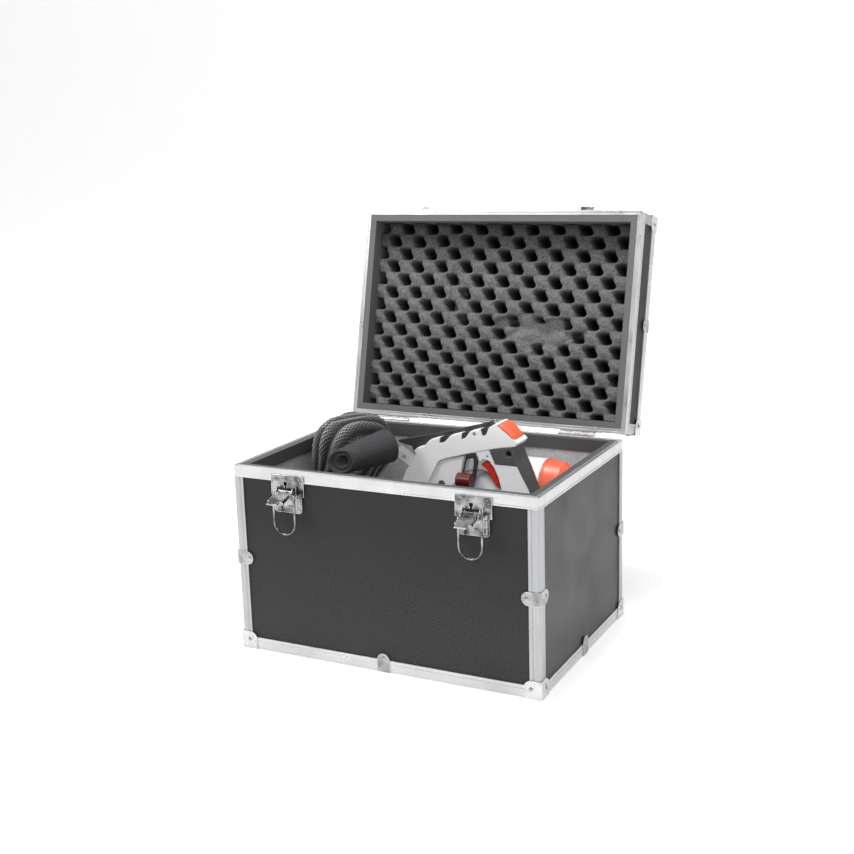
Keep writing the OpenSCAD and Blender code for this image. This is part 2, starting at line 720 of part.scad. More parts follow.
module shell_screws() {
  color("#8a8b8e") {
    ycyl(69, 303.5, gun_y + 2, core_y - 0.05, 2.55);
    ycyl(14, 226, gun_y + 3.4, gun_y + 5, 5);
    ycyl(trig_x, trig_z, gun_y + 1.2, gun_y + gun_t - 1.2, 1.5);
  }
}

// ---------- loose items in the case ----------
module canister() {
  color("#e6e6e8") difference() {
    union() {
      xcyl(can_x, can_x + 68, can_y, can_z, can_r);
      translate([can_x, can_y, can_z]) rotate([0, -90, 0]) cylinder(h = 6, r1 = can_r, r2 = can_r - 8);
      xcyl(can_x + 68, can_x + 82, can_y, can_z, can_r - 4);
    }
    xcyl(can_x - 2, can_x + 83, can_y, can_z, can_r - 6);
  }
}
module canister_cap() {
  x = can_x + 68.3;
  color("#f0623c") difference() {
    union() {
      xcyl(x, x + 4.2, can_y, can_z, can_r + 0.2);
      translate([x + 4.2, can_y, can_z]) rotate([0, 90, 0]) cylinder(h = 22, r1 = can_r - 0.5, r2 = can_r - 4);
      translate([x + 26.2, can_y, can_z]) rotate([0, 90, 0]) cylinder(h = 16, r1 = can_r - 4, r2 = can_r - 16);
    }
    xcyl(x - 1, x + 15.5, can_y, can_z, can_r - 3.95);
  }
}
module rolled_sleeve() {
  color("#3e3e41") translate([-89, -112, 274.6]) rotate([0, 0, -20.8]) rotate([-85.7, 0, 0])
    difference() {
      cylinder(h = 91, r1 = 17.6, r2 = 25);
      translate([0, 0, -1]) cylinder(h = 24, r = 9);
    }
}
module mesh_bag() {
  color("#141416") hull() {
    translate([-202, -10, bed_z + 0.3]) cube([92, 148, 40]);
    translate([-206, -14, bed_z + 40]) cube([106, 140, 48]);
    translate([-190, 10, bed_z + 80]) cube([70, 94, 34]);
  }
}

front_board();
back_board();
side_board_left();
side_board_right();
base_board();
base_rails();
corner_posts();
rim_rail();
rim_liner();
felt_lining();
foam_bed();
corner_caps();
edge_clips();
case_rivets();
rubber_feet();
latch_plates();
latch_lever_left();
latch_lever_right();
bail_left();
bail_right();
hinge_leaves_case();
hinge_pins();
lid_top_board();
lid_wall_boards();
lid_rim_rail();
lid_top_rails();
lid_posts();
lid_border();
lid_foam();
lid_corner_caps();
lid_edge_clips();
lid_rivets();
keeper_plates();
hinge_leaves_lid();
shell_near();
shell_far();
inner_frame();
magazine();
nail_strip();
magazine_pusher();
pusher_spring();
grip_rubber();
end_pad();
barrel();
piston();
buffer_ring();
breech_dome();
rear_cap();
nose_guide();
guide_bracket();
contact_probe();
probe_spring();
depth_wheel();
trip_rod();
trigger();
shell_screws();
canister();
canister_cap();
rolled_sleeve();
mesh_bag();
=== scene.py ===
"""Looks of the nail gun kit: materials, soft pieces, camera and light round the fixed CAD frame.

Shapes are given in millimetres, and MM turns them into metres. Materials, camera, lamps and floor
are in metres.
"""
import json
import math
import random

import bpy
import numpy as np
from mathutils import Matrix, Vector


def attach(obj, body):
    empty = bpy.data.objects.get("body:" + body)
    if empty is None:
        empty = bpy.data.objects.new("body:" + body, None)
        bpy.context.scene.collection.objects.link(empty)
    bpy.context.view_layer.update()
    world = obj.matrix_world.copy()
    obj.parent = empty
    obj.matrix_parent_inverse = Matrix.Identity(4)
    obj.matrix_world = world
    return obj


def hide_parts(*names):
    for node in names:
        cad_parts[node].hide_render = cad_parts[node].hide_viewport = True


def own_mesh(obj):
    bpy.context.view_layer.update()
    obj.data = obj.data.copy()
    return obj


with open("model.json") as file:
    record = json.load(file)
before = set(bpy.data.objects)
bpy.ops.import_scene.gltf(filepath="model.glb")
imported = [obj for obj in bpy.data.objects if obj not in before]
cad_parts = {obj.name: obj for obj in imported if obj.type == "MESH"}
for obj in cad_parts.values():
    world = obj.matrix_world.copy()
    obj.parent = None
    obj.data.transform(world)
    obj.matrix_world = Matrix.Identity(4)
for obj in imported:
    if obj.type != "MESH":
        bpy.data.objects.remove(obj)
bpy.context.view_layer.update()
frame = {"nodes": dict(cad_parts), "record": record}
scene = bpy.context.scene

MM = 0.001
TAU = 2 * math.pi
HINGE_Y, HINGE_Z = 169.6, 271.2  # axis of the lid's hinge pins
LID_OPEN = math.radians(103.5)
LID_RIM_Z = 271.4  # the lid's rim when it is shut
MAGAZINE_TILT = math.radians(17)


# ---------------------------------------------------------------- geometry helpers
def lid_to_row(points):
    """Points of the shut lid, its rim at z = 0, to the row frame in metres with the lid open."""
    p = np.array(points, float).reshape(-1, 3)
    y, z = p[:, 1] - HINGE_Y, p[:, 2] + LID_RIM_Z - HINGE_Z
    c, s = math.cos(-LID_OPEN), math.sin(-LID_OPEN)
    return np.stack([p[:, 0], HINGE_Y + y * c - z * s, HINGE_Z + y * s + z * c], 1) * MM


def make(name, points, faces, mat, uv=None):
    """A smooth-shaded mesh object. Points are in metres."""
    mesh = bpy.data.meshes.new(name)
    mesh.from_pydata([tuple(v) for v in points], [], faces)
    mesh.validate()
    if uv is not None:
        layer = mesh.uv_layers.new(name="UVMap")
        for loop in mesh.loops:
            layer.data[loop.index].uv = uv[loop.vertex_index]
    mesh.materials.append(mat)
    for face in mesh.polygons:
        face.use_smooth = True
    ob = bpy.data.objects.new(name, mesh)
    scene.collection.objects.link(ob)
    return ob


def point_values(ob, name, values):
    """Store one number per point, for the materials to read."""
    attribute = ob.data.attributes.new(name, "FLOAT", "POINT")
    attribute.data.foreach_set("value", np.asarray(values).ravel().astype(np.float32))


def grid_faces(nu, nv, wrap_u=False, first=0):
    """Faces of a grid whose points run along v first. wrap_u closes it into a ring."""
    faces = []
    for i in range(nu if wrap_u else nu - 1):
        for j in range(nv - 1):
            a, b = i * nv + j, ((i + 1) % nu) * nv + j
            faces.append((first + a, first + b, first + b + 1, first + a + 1))
    return faces


def closed_slab(top, low):
    """Points and faces of a closed piece: a grid of top points over a flat face at height low."""
    nx, ny, _ = top.shape
    upper = top.reshape(-1, 3)
    lower = upper.copy()
    lower[:, 2] = low
    count = nx * ny
    faces = grid_faces(nx, ny) + [tuple(reversed(f)) for f in grid_faces(nx, ny, first=count)]
    border = [i * ny for i in range(nx)] + [(nx - 1) * ny + j for j in range(1, ny)]
    border += [i * ny + ny - 1 for i in range(nx - 2, -1, -1)] + list(range(ny - 2, 0, -1))
    for a, b in zip(border, border[1:] + border[:1]):
        faces.append((a, a + count, b + count, b))
    return np.vstack([upper, lower]), faces


def smooth01(t):
    """A soft step from 0 to 1 as t goes from 0 to 1."""
    t = np.clip(t, 0, 1)
    return t * t * (3 - 2 * t)


# ---------------------------------------------------------------- shader helpers
class Mat:
    """A Principled material with short calls for the nodes used here."""

    def __init__(self, name, color, rough=0.5, metal=0.0):
        self.m = bpy.data.materials.new(name)
        self.m.use_nodes = True
        self.nt = self.m.node_tree
        self.nt.nodes.clear()
        output = self.node("ShaderNodeOutputMaterial")
        self.b = self.node("ShaderNodeBsdfPrincipled")
        self.link(self.b.outputs[0], output.inputs["Surface"])
        self.b.inputs["Base Color"].default_value = (*color, 1)
        self.b.inputs["Roughness"].default_value = rough
        self.b.inputs["Metallic"].default_value = metal
        self.co = self.node("ShaderNodeTexCoord").outputs["Object"]

    def node(self, kind, **settings):
        n = self.nt.nodes.new(kind)
        for key, value in settings.items():
            setattr(n, key, value)
        return n

    def link(self, source, target):
        self.nt.links.new(source, target)

    def math(self, op, a, b=None, clamp=False):
        n = self.node("ShaderNodeMath", operation=op, use_clamp=clamp)
        for i, value in enumerate((a, b)):
            if value is None:
                continue
            if isinstance(value, (int, float)):
                n.inputs[i].default_value = value
            else:
                self.link(value, n.inputs[i])
        return n.outputs[0]

    def noise(self, scale, detail=4, stretch=None, rough=0.5):
        n = self.node("ShaderNodeTexNoise")
        n.inputs["Scale"].default_value = scale
        n.inputs["Detail"].default_value = detail
        n.inputs["Roughness"].default_value = rough
        source = self.co
        if stretch:
            mapping = self.node("ShaderNodeMapping")
            mapping.inputs["Scale"].default_value = stretch
            self.link(self.co, mapping.inputs[0])
            source = mapping.outputs[0]
        self.link(source, n.inputs["Vector"])
        return n.outputs["Fac"]

    def cells(self, scale):
        n = self.node("ShaderNodeTexVoronoi")
        n.inputs["Scale"].default_value = scale
        self.link(self.co, n.inputs["Vector"])
        return n.outputs["Distance"]

    def attribute(self, name):
        return self.node("ShaderNodeAttribute", attribute_name=name).outputs["Fac"]

    def remap(self, value, low, high, from_low=0.3, from_high=0.7):
        n = self.node("ShaderNodeMapRange")
        for i, limit in enumerate((from_low, from_high, low, high)):
            n.inputs[i + 1].default_value = limit
        self.link(value, n.inputs[0])
        return n.outputs[0]

    def mix(self, fac, first, second):
        """Blend of two colours, each a tuple or the output of another node."""
        n = self.node("ShaderNodeMix", data_type="RGBA")
        self.link(fac, n.inputs[0])
        for i, value in ((6, first), (7, second)):
            if isinstance(value, tuple):
                n.inputs[i].default_value = (*value, 1)
            else:
                self.link(value, n.inputs[i])
        return n.outputs[2]

    def color(self, fac, first, second):
        self.link(self.mix(fac, first, second), self.b.inputs["Base Color"])

    def rough(self, value, low, high):
        self.link(self.remap(value, low, high), self.b.inputs["Roughness"])

    def bevel(self, radius, samples):
        n = self.node("ShaderNodeBevel", samples=samples)
        n.inputs["Radius"].default_value = radius
        return n.outputs[0]

    def bump(self, height, dist, strength=1.0, bevel=0.0):
        n = self.node("ShaderNodeBump")
        n.inputs["Strength"].default_value = strength
        n.inputs["Distance"].default_value = dist
        self.link(height, n.inputs["Height"])
        if bevel:
            self.link(self.bevel(bevel, 6), n.inputs["Normal"])
        self.link(n.outputs[0], self.b.inputs["Normal"])

    def split(self, vector):
        n = self.node("ShaderNodeSeparateXYZ")
        self.link(vector, n.inputs[0])
        return n.outputs

    def edges(self, width):
        """1 along the edges of the piece, 0 on its flat faces."""
        dot = self.node("ShaderNodeVectorMath", operation="DOT_PRODUCT")
        self.link(self.bevel(width, 8), dot.inputs[0])
        self.link(self.node("ShaderNodeNewGeometry").outputs["Normal"], dot.inputs[1])
        return self.remap(dot.outputs["Value"], 1, 0, 0.72, 0.99)


def scaled(color, k):
    return tuple(min(1.0, v * k) for v in color)


# ---------------------------------------------------------------- materials
def plastic(name, c, rough=0.45, grain=1800, depth=0.00006, bevel=0.0006, vary=0.88):
    """Moulded plastic or rubber with a fine grain."""
    m = Mat(name, c, rough)
    m.color(m.remap(m.noise(9, 3), 0, 1), scaled(c, vary), c)
    m.rough(m.noise(60, 4), rough - 0.07, rough + 0.09)
    m.bump(m.noise(grain, 2), depth, 0.5, bevel)
    return m


def metal(name, c, rough=0.3, stretch=None, bevel=0.0004, met=1.0, occlusion_shade=0.0, fine=420):
    """Brushed or plated metal; painted shade from ambient occlusion darkens its grooves and inner corners.
    """
    m = Mat(name, c, rough, met)
    brushing = m.noise(fine, 5, stretch)
    tint = m.mix(m.remap(m.noise(26, 4), 0, 1), scaled(c, 0.9), c)
    if occlusion_shade:
        ao = m.node("ShaderNodeAmbientOcclusion", samples=6, only_local=False)
        ao.inputs["Distance"].default_value = 0.004
        # painted shade: where ambient occlusion is low, the tint is mixed towards a dark copy of the colour
        tint = m.mix(m.remap(ao.outputs["AO"], occlusion_shade, 0, 0.25, 0.95), tint, scaled(c, 0.12))
    m.link(tint, m.b.inputs["Base Color"])
    m.rough(brushing, rough - 0.08, rough + 0.12)
    m.bump(brushing, 0.00003, 0.35, bevel)
    return m


def laminate(name, c, rough, depth, gloss, weak=0.3, dark=0.1, bright=3.4):
    """Board faced with embossed plastic: two sets of diagonal ridges, one stronger, with painted highlights
    on them and painted shade between them, the painted highlights fading upwards.
    """
    pitch = 0.0034
    m = Mat(name, c, rough)
    x, y, z = m.split(m.co)
    along = m.math("ADD", x, y)
    k = TAU / pitch
    rising = m.math("SINE", m.math("MULTIPLY", m.math("ADD", along, z), k))
    falling = m.math("SINE", m.math("MULTIPLY", m.math("SUBTRACT", along, z), k))
    glint_fade = m.remap(z, 1, weak, 0.06, 0.2)
    ridges_and_glints = m.math("MULTIPLY", m.math("MAXIMUM", m.math("MULTIPLY", rising, 0.55), falling), glint_fade)
    # painted highlights on the ridges and painted shade between them, from dark to bright times the colour
    m.color(m.remap(ridges_and_glints, 0, 1, -0.5, 1), scaled(c, dark), scaled(c, bright))
    m.b.inputs["Specular IOR Level"].default_value = gloss
    m.rough(m.noise(14, 5), rough - 0.05, rough + 0.08)
    m.bump(ridges_and_glints, depth, 0.6)
    return m


def foam(name, c, speck=900, deep=0.35):
    """Plain foam or felt: mottled, with small cells."""
    m = Mat(name, c, 0.95)
    cells = m.cells(speck)
    mottled = m.math("ADD", m.remap(cells, 0, 0.6, 0.1, 0.6), m.remap(m.noise(240, 5), 0, 0.4))
    m.color(mottled, scaled(c, deep), scaled(c, 1.5))
    m.bump(m.math("ADD", cells, m.noise(500, 3)), 0.0009, 0.8)
    m.b.inputs["Specular IOR Level"].default_value = 0.15
    return m


def plated(name, low, high, edge=0.9, met=1.0):
    """Pressed, nickel-plated steel: slightly wavy, with dark and light patches of painted reflection and
    edges painted bright as highlights.
    """
    m = Mat(name, (0.6, 0.6, 0.61), 0.16, met)
    painted_reflections = m.remap(m.noise(70, 2, rough=0.5), 0, 1, 0.36, 0.64)
    body = m.mix(painted_reflections, (low, low, low * 1.03), (high, high, high * 1.02))
    # painted highlight: the edges are mixed towards white
    m.link(m.mix(m.math("MULTIPLY", m.edges(0.0014), edge), body, (1, 1, 1)), m.b.inputs["Base Color"])
    m.rough(m.noise(400, 4), 0.12, 0.3)
    waves = m.math("ADD", m.noise(60, 1), m.math("MULTIPLY", m.noise(900, 3), 0.03))
    m.bump(waves, 0.0003, 0.3, 0.0006)
    return m


def crate_foam(name, c):
    """Open-cell foam, speckled: domes painted pale as lit and pits painted black as shade, from the mesh's
    own per-point lift values.
    """
    m = Mat(name, c, 0.95)
    cells = m.cells(520)
    grain = m.remap(m.noise(330, 5, rough=0.7), -0.3, 0.45)
    speck = m.math("ADD", m.remap(cells, 0.25, -0.15, 0.1, 0.7), grain)
    # painted light and shade: the more lift, the lighter the colour
    painted_light = m.math("POWER", m.attribute("lift_and_shade"), 1.2)
    shade = m.math("MULTIPLY", painted_light, m.math("ADD", speck, 0.75), clamp=True)
    m.color(shade, (0.0012, 0.0012, 0.0013), scaled(c, 2.6))
    m.bump(m.math("ADD", cells, m.noise(420, 4)), 0.0011, 0.9)
    m.b.inputs["Specular IOR Level"].default_value = 0.1
    return m


def net(name, cell=0.0036):
    """Knitted net: two crossing sets of cords with open diamonds between them, laid out along the cloth, the
    cords painted light on the pleats' crests and painted dark as shade in the folds.
    """
    m = Mat(name, (0.05, 0.05, 0.052), 0.55)
    u, along, _ = m.split(m.node("ShaderNodeUVMap", uv_map="UVMap").outputs[0])
    v = m.math("MULTIPLY", along, 0.62)

    def cords(op):
        w = m.math("FRACT", m.math("DIVIDE", m.math(op, u, v), cell))
        return m.math("MULTIPLY", m.math("ABSOLUTE", m.math("SUBTRACT", w, 0.5)), 2)

    height = m.math("MAXIMUM", cords("ADD"), cords("SUBTRACT"))
    # painted light and shade: the cords are lit on the pleats' crests and black in the folds
    crest = m.math("POWER", m.attribute("ridge_light"), 2.2)
    lit = m.math("MULTIPLY", m.remap(height, 0, 1, 0.55, 1), crest, clamp=True)
    m.color(lit, (0.004, 0.004, 0.005), (0.64, 0.64, 0.65))
    m.link(m.remap(height, 0, 1, 0.36, 0.46), m.b.inputs["Alpha"])
    m.bump(height, 0.0011, 1.0)
    return m


MATERIALS = {
    "laminate_front": laminate("laminate_front", (0.018, 0.018, 0.0185), 0.5, 0.0003, 0.14),
    # the side board: the same laminate as the front, painted lighter for the reflection it shows
    "laminate_side": laminate("laminate_side", (0.030, 0.030, 0.032), 0.4, 0.00006, 0.24, 0.6, 0.8, 1.2),
    "rail_aluminium": metal("rail_aluminium", (0.57, 0.573, 0.58), 0.32, (1, 1, 1), 0.0008, 0.85, fine=30),
    # the corner posts: the rails' aluminium painted darker as shade
    "post_aluminium": metal("post_aluminium", (0.40, 0.403, 0.41), 0.36, (9, 9, 0.3), 0.0012, 0.85, fine=60),
    "liner_plastic": plastic("liner_plastic", (0.075, 0.075, 0.078), 0.6),
    "border_grey": plastic("border_grey", (0.115, 0.115, 0.118), 0.7),
    "steel_fittings": plated("steel_fittings", 0.09, 0.34, 0.85),
    "cap_steel": plated("cap_steel", 0.48, 0.62, 0.5, 0.6),
    "clip_steel": plated("clip_steel", 0.20, 0.36, 0.6, 0.8),
    "rubber_black": plastic("rubber_black", (0.02, 0.02, 0.02), 0.8),
    "shell_grey": plastic("shell_grey", (0.95, 0.95, 0.96), 0.4, bevel=0.0024, vary=0.96),
    "frame_dark": plastic("frame_dark", (0.035, 0.035, 0.037), 0.45),
    "grip_grey": plastic("grip_grey", (0.088, 0.088, 0.092), 0.62, 900, 0.0002, 0.002),
    "pad_orange": plastic("pad_orange", (0.88, 0.15, 0.07), 0.5, 700, 0.0003, 0.001),
    "trigger_red": plastic("trigger_red", (0.70, 0.03, 0.014), 0.3, bevel=0.001),
    "wheel_red": plastic("wheel_red", (0.10, 0.004, 0.006), 0.35),
    "tool_steel": metal("tool_steel", (0.45, 0.455, 0.47), 0.3, (1, 12, 12)),
    "bracket_steel": metal("bracket_steel", (0.86, 0.865, 0.88), 0.4, met=0.25, occlusion_shade=0.25),
    "silver_housing": metal("silver_housing", (0.50, 0.505, 0.52), 0.5, met=0.55),
    "canister_white": plastic("canister_white", (0.9, 0.9, 0.91), 0.3, vary=0.96),
    "cap_orange": plastic("cap_orange", (0.9, 0.17, 0.08), 0.35, bevel=0.001),
    "foam_black": foam("foam_black", (0.03, 0.03, 0.032)),
    "felt_grey": foam("felt_grey", (0.58, 0.58, 0.59), 1500, 0.8),
    "sleeve_dark": foam("sleeve_dark", (0.050, 0.050, 0.053), 1400, 0.75),
}
SLOTS = {part["node"]: part["material_slot"] for part in frame["record"]["subparts"]}
for node, slot in SLOTS.items():
    if slot != "mesh_black":  # the net bag is replaced by pieces that bring their own material
        materials = frame["nodes"][node].data.materials
        materials.clear()
        materials.append(MATERIALS[slot].m)

# ---------------------------------------------------------------- egg-crate foam in the lid
CRATE_PERIOD_X, CRATE_PERIOD_Y = 43.1, 41.0  # rows are half a period apart, each shifted by half a bump
CRATE_FIRST_X, CRATE_FIRST_Y = 6.7, 4.3  # place of one bump
CRATE_HALF_X, CRATE_HALF_Y = 212.6, 146.6
CRATE_BACK, CRATE_PEAK, CRATE_PIT = 63.8, 21.0, 54.0  # distances behind the lid's rim
CRATE_FLAT, CRATE_DENT = 27, 31  # the same, where a crease or the tool has pressed the bumps


def crate_surface(x, y):
    """Distance behind the lid's rim and lift (0 in the pits, 1 on the domes) of the foam's face; the lift is
    also the foam's painted light and shade.
    """
    rng = np.random.default_rng(7)
    wobble = sum(
        rng.uniform(0.5, 1.3)
        * np.sin(x * rng.uniform(0.01, 0.05) + y * rng.uniform(-0.05, 0.05) + rng.uniform(0, 6))
        for _ in range(6)
    )
    v = y - CRATE_FIRST_Y + 0.4 * wobble
    lean = 2.2 * np.sin(2 * TAU * v / CRATE_PERIOD_Y)  # pits lean down to the right
    u = x - CRATE_FIRST_X + 0.4 * wobble - lean
    wave = np.cos(TAU * u / CRATE_PERIOD_X) * np.cos(TAU * v / CRATE_PERIOD_Y)
    # the lift also sets the colour: painted shade in the pits, painted light on the domes
    lift_and_shade = smooth01((wave + 0.79) / 0.85)
    dome = 3.0 * np.clip(wave, 0, 1) ** 2
    depth = CRATE_PIT - (CRATE_PIT - CRATE_PEAK) * lift_and_shade - dome + 0.35 * wobble

    crease = 0.6 * smooth01((1 - np.hypot((x + 70) / 15, (y + 22) / 78)) / 0.4)
    depth = depth * (1 - crease) + crease * CRATE_FLAT
    lift_and_shade = np.maximum(lift_and_shade, crease)

    ragged = 0.20 * np.sin(x * 0.13 + 1) + 0.17 * np.sin(y * 0.21 + x * 0.07)
    oval = np.hypot((x - 70) / 62, (y - 18 - 0.06 * (x - 70)) / 23)
    dent = smooth01((1.2 + ragged - oval) / 0.5)
    pressed = CRATE_DENT + 2.2 * np.sin(x * 0.11) + 1.6 * np.sin(y * 0.17) - 3 * np.clip(wave, 0, 1)
    depth = depth * (1 - dent) + dent * pressed
    # painted light: the pressed dent is painted brighter than the domes
    lift_and_shade = np.maximum(lift_and_shade, dent * (1.1 + 0.12 * np.sin(x * 0.09 + y * 0.2)))

    # painted shadow of the lid's front rim on the rows under it
    shade = 0.40 + 0.60 * smooth01((y + CRATE_HALF_Y) / 90)  # the rows under the front rim are the darkest
    return depth, lift_and_shade * shade


def egg_crate():
    columns = np.linspace(-CRATE_HALF_X, CRATE_HALF_X, 262)
    rows = np.linspace(-CRATE_HALF_Y, CRATE_HALF_Y, 180)
    x, y = np.meshgrid(columns, rows, indexing="ij")
    depth, lift_and_shade = crate_surface(x, y)
    points, faces = closed_slab(np.stack([x, y, depth], -1), CRATE_BACK)
    mat = crate_foam("foam_crate", (0.068, 0.068, 0.070)).m
    ob = make("egg_crate_foam", lid_to_row(points), faces, mat)
    # per-point painted light and shade for the foam's colour; none on the flat underside
    point_values(ob, "lift_and_shade", np.concatenate([lift_and_shade.ravel(), lift_and_shade.ravel() * 0]))
    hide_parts("lid_foam")
    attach(ob, "lid")
    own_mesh(ob)


egg_crate()

# ---------------------------------------------------------------- foam bed
BED_HALF_X, BED_HALF_Y = 217.8, 151.8
BED_TOP, BED_LOW = 178.9, 11.2


def foam_bed():
    """The bed that the contents lie on, rounded off at its rim and pressed in under the tool."""
    columns = np.linspace(-BED_HALF_X, BED_HALF_X, 146)
    rows = np.linspace(-BED_HALF_Y, BED_HALF_Y, 102)
    x, y = np.meshgrid(columns, rows, indexing="ij")
    to_rim = np.minimum(BED_HALF_X - abs(x), BED_HALF_Y - abs(y))
    waves = 0.4 * (1 + np.sin(x * 0.06) * np.sin(y * 0.05 + 1))
    z = BED_TOP - 3.5 * (1 - smooth01(to_rim / 8)) - waves
    z -= 1.8 * smooth01((1 - np.hypot((x - 50) / 135, (y - 13) / 32)) / 0.3)
    points, faces = closed_slab(np.stack([x, y, z], -1), BED_LOW)
    ob = make("bed_foam", points * MM, faces, MATERIALS["foam_black"].m)
    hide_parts("foam_bed")
    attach(ob, "case")


foam_bed()

# ---------------------------------------------------------------- felt lining: a tray of thick felt
FELT_HALF_X, FELT_HALF_Y = 223.95, 157.95
FELT_UNDERSIDE, FELT_FLOOR = 8.2, 11
FELT_THICK = 5.8
FELT_MIDDLE = 0.05  # the floor is drawn in to this share of its size, and one face closes the rest


def oblong(half_x, half_y, r, per_side=72, per_corner=9):
    """Points round a rectangle with rounded corners, each side cut into equal steps."""
    corners = []
    for cx, cy, start in ((1, -1, -90), (1, 1, 0), (-1, 1, 90), (-1, -1, 180)):
        for a in np.radians(np.linspace(start, start + 90, per_corner)):
            corners.append((cx * (half_x - r) + r * math.cos(a), cy * (half_y - r) + r * math.sin(a)))
    corners = np.array(corners)
    following = np.roll(corners, -1, 0)
    points = []
    for k in range(len(corners)):
        steps = per_side if k % per_corner == per_corner - 1 else 1
        points += [corners[k] + (following[k] - corners[k]) * i / steps for i in range(steps)]
    return np.array(points)


def felt_ring(inset, z):
    """One ring of the felt's section. The inner wall is pressed outwards here and there."""
    ring = oblong(FELT_HALF_X - inset, FELT_HALF_Y - inset, 1.2 + 0.9 * inset if inset < 5 else 5.2)
    if inset > 4 and z > FELT_FLOOR:
        run = ring[:, 0] * 0.045 + ring[:, 1] * 0.06
        press = 0.45 * (1 + np.sin(run + z * 0.035)) + 0.25 * (1 + np.sin(2.7 * run - z * 0.09))
        on_wall = np.abs(ring) > [210, 144]
        ring = ring + np.sign(ring) * np.minimum(press, 1.2)[:, None] * on_wall * 0.7
    return ring


def felt_lining():
    outer = [(1, 0.1, z) for z in np.linspace(20, 264, 12)]
    lip = [(1, 0.35, 267.2), (1, 1.3, 268.6), (1, 2.9, 268.9), (1, 4.5, 268.4), (1, 5.4, 266.8)]
    inner = [(1, FELT_THICK, z) for z in np.linspace(264, 150, 30)] + [(1, FELT_THICK, 60)]
    section = [(FELT_MIDDLE, 0, FELT_UNDERSIDE), (0.98, 0, FELT_UNDERSIDE), (1, 0.1, 9.0)]
    section += outer + lip + inner + [(1, FELT_THICK, FELT_FLOOR), (FELT_MIDDLE, FELT_THICK, FELT_FLOOR)]
    rings = []
    for share, inset, z in section:
        ring = felt_ring(inset, z) * share
        rings.append(np.column_stack([ring, np.full(len(ring), z)]))
    around, steps = len(rings[0]), len(section)
    faces = grid_faces(around, steps, wrap_u=True)
    faces.append(tuple(k * steps for k in reversed(range(around))))
    faces.append(tuple(k * steps + steps - 1 for k in range(around)))
    ob = make("felt_tray", np.stack(rings, 1).reshape(-1, 3) * MM, faces, MATERIALS["felt_grey"].m)
    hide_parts("felt_lining")
    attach(ob, "case")


felt_lining()

# ---------------------------------------------------------------- rolled sleeve
SLEEVE_START = np.array([-89.0, -112.0, 274.6])  # middle of the mouth
SLEEVE_TILT, SLEEVE_TURN = math.radians(-85.7), math.radians(-20.8)
SLEEVE_LENGTH = 91.0
SLEEVE_MOUTH_R, SLEEVE_END_R = 17.7, 25
MOUTH_TOWARDS = np.array([0.504, -0.827, 0.249])  # the mouth's face is turned this way
MOUTH_REACH = 55  # the slant of the mouth dies away over this length


def sleeve_profile():
    """Radius and distance along the sleeve: bore, rolled inner layer, rim, outer wall, far end."""
    bore = [(3.0, 22.5), (6.5, 22.0), (6.9, 8.0), (7.4, 5.0), (8.6, 3.6), (10.2, 3.2), (11.2, 4.0)]
    rim = [(12.0, 5.2), (12.9, 5.0), (13.4, 2.6), (14.2, 0.9), (15.4, 0.25), (16.6, 0.6), (17.5, 1.8)]
    wall = []
    for t in np.linspace(3, SLEEVE_LENGTH - 3, 34):
        taper = (SLEEVE_END_R - SLEEVE_MOUTH_R) * t / SLEEVE_LENGTH
        wall.append((SLEEVE_MOUTH_R + taper - 0.3 * math.sin(t * 0.09) ** 2, t))
    end = [(24.5, 1.2), (23.2, 0.2), (19.0, 0.5), (17.5, 3), (14.0, 3.5), (3.0, 3.6)]
    return bore + rim + wall + [(r, SLEEVE_LENGTH - back) for r, back in end]


def rolled_sleeve():
    side_x, side_y = -math.sin(SLEEVE_TURN), math.cos(SLEEVE_TURN)
    run = -math.sin(SLEEVE_TILT)
    axis = np.array([side_x * run, side_y * run, math.cos(SLEEVE_TILT)])
    first = np.cross(axis, [0, 0, 1.0])
    first /= np.linalg.norm(first)
    second = np.cross(axis, first)
    mouth = MOUTH_TOWARDS - axis * (MOUTH_TOWARDS @ axis)
    mouth = 0.62 * mouth / np.linalg.norm(mouth)
    profile = sleeve_profile()
    around = 96
    points = []
    for k in range(around):
        a = TAU * k / around
        roll = 0.7 * ((k / around + 0.30) % 1.0) - 0.7  # one turn of the outer layer, with its free edge
        for r, t in profile:
            radius = r + 0.12 * math.sin(5 * a + t * 0.06)
            if r > 13.5 and 0.5 < t < SLEEVE_LENGTH - 2:
                radius += roll
            out = (first * math.cos(a) + second * math.sin(a)) * radius
            slant = float(out @ mouth) * (1 - float(smooth01(t / MOUTH_REACH)))
            points.append(SLEEVE_START + axis * (t + slant + 3.5 * (1 - min(1, t / MOUTH_REACH))) + out)
    steps = len(profile)
    faces = grid_faces(around, steps, wrap_u=True)
    faces.append(tuple(k * steps for k in range(around)))
    faces.append(tuple(k * steps + steps - 1 for k in reversed(range(around))))
    ob = make("sleeve_roll", np.array(points) * MM, faces, MATERIALS["sleeve_dark"].m)
    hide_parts("rolled_sleeve")
    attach(ob, "sleeve")


rolled_sleeve()

# ---------------------------------------------------------------- net bag, gathered in pleats
BAG_MIDDLE, BAG_HALF = np.array([-161.0, 50.0, 214.0]), np.array([45.0, 68.0, 84.0])
BAG_LOW, BAG_HIGH = np.array([-208, -18, 179.6]), np.array([-97, 140, 299])  # box that holds it
BAG_SQUARENESS = 3.6
POLE = np.array([-0.50, -0.80, -0.33])  # the pleats run from the front left to the back right
POLE /= np.linalg.norm(POLE)
SIDE = np.cross(POLE, [0, 0, 1.0])
SIDE /= np.linalg.norm(SIDE)
OVER = np.cross(SIDE, POLE)
NET_CORD = net("net_cord").m


